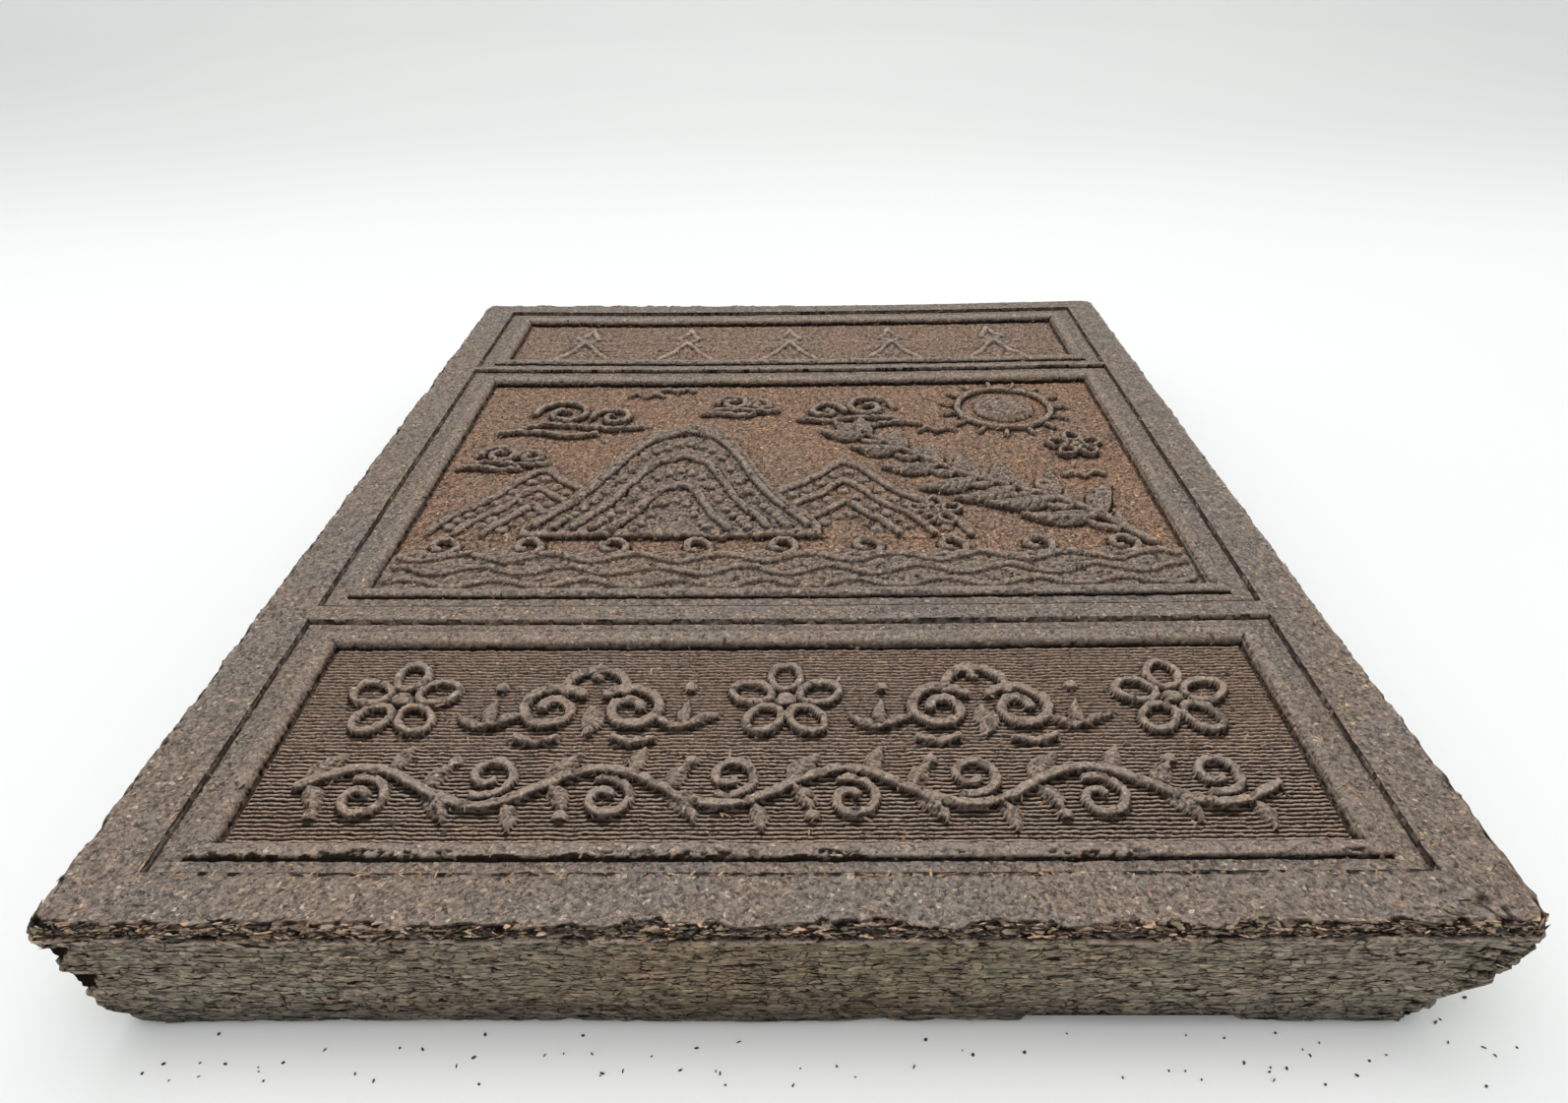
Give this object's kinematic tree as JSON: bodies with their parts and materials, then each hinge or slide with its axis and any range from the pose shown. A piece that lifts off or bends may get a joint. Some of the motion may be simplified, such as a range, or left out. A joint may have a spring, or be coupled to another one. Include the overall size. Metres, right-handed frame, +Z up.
{
  "type": "black tea brick",
  "caption": "Flat rectangular brick of pressed black tea with leaning sides and a moulded face: stars, a landscape and a ribbed panel, each in a beaded frame.",
  "frame": {"origin": "centre of the brick's footprint, on the surface it lies on", "axes": "+Z up through the moulded face, +Y along the brick from the ribbed panel to the row of stars, +X to the right of someone who reads the face"},
  "size_m": [0.1902, 0.237, 0.024],
  "materials": {
    "pressed_tea": "compacted tea dust: dull, grainy and a little smoother on the rim"
  },
  "bodies": {
    "root": {"tea_brick": "pressed_tea"}
  },
  "joints": []
}
